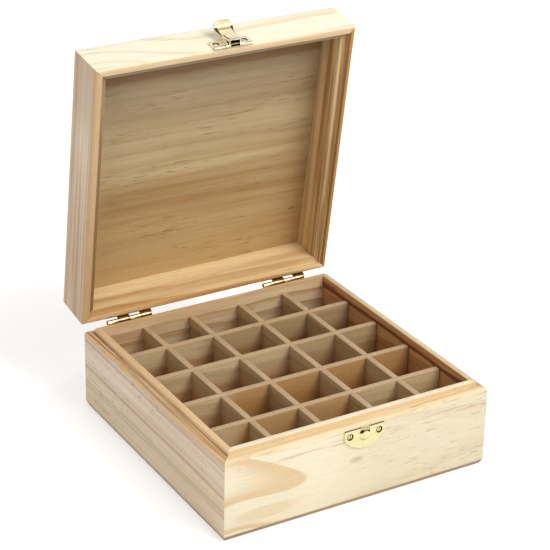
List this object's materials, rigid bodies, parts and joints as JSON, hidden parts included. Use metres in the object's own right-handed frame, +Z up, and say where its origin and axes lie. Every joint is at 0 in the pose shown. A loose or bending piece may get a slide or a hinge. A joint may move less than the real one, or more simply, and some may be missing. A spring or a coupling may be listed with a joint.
{
  "type": "wooden bottle storage box",
  "caption": "Square pine box with a hinged lid, a brass latch and a loose divider grid whose square cells hold small oil bottles upright.",
  "frame": {"origin": "centre of the underside of the bottom panel, on the table", "axes": "+Z up, +X to the right of someone facing the latch, +Y from the latch to the hinges"},
  "size_m": [0.2, 0.2378, 0.2738],
  "materials": {
    "pine": "sanded, unvarnished, with streaked grain",
    "plywood": "sanded, slightly grey",
    "slatwood": "rough sawn",
    "brass": "bright brass-plated steel"
  },
  "bodies": {
    "base": {"base_front_board": "pine", "base_back_board": "pine", "base_left_board": "pine", "base_right_board": "pine", "bottom_panel": "plywood", "left_hinge_base_leaf": "brass", "right_hinge_base_leaf": "brass", "left_hinge_pin": "brass", "right_hinge_pin": "brass", "hinge_base_screw_1": "brass", "hinge_base_screw_2": "brass", "hinge_base_screw_3": "brass", "hinge_base_screw_4": "brass", "catch_plate": "brass", "catch_screw_1": "brass", "catch_screw_2": "brass"},
    "lid": {"lid_front_board": "pine", "lid_back_board": "pine", "lid_left_board": "pine", "lid_right_board": "pine", "lid_panel": "pine", "left_hinge_lid_leaf": "brass", "right_hinge_lid_leaf": "brass", "hinge_lid_screw_1": "brass", "hinge_lid_screw_2": "brass", "hinge_lid_screw_3": "brass", "hinge_lid_screw_4": "brass", "latch_plate": "brass", "latch_pin": "brass", "latch_screw_1": "brass", "latch_screw_2": "brass"},
    "flap": {"latch_flap": "brass"},
    "divider_grid": {"cross_slat_1": "slatwood", "cross_slat_2": "slatwood", "cross_slat_3": "slatwood", "cross_slat_4": "slatwood", "long_slat_1": "slatwood", "long_slat_2": "slatwood", "long_slat_3": "slatwood", "long_slat_4": "slatwood"}
  },
  "joints": [
    {"name": "lid_hinge", "type": "hinge", "parent": "base", "child": "lid", "pos_m": [0, 0.10245, 0.0587], "axis": [-1, 0, 0], "range_deg": [-81.4, 94.6]},
    {"name": "latch_hinge", "type": "hinge", "parent": "lid", "child": "flap", "pos_m": [0.0025, 0.07172, 0.26053], "axis": [1, 0, 0], "range_deg": [0, 90]},
    {"name": "grid_lift", "type": "slide", "parent": "base", "child": "divider_grid", "axis": [0, 0, 1], "range_m": [0, 0.03]}
  ]
}
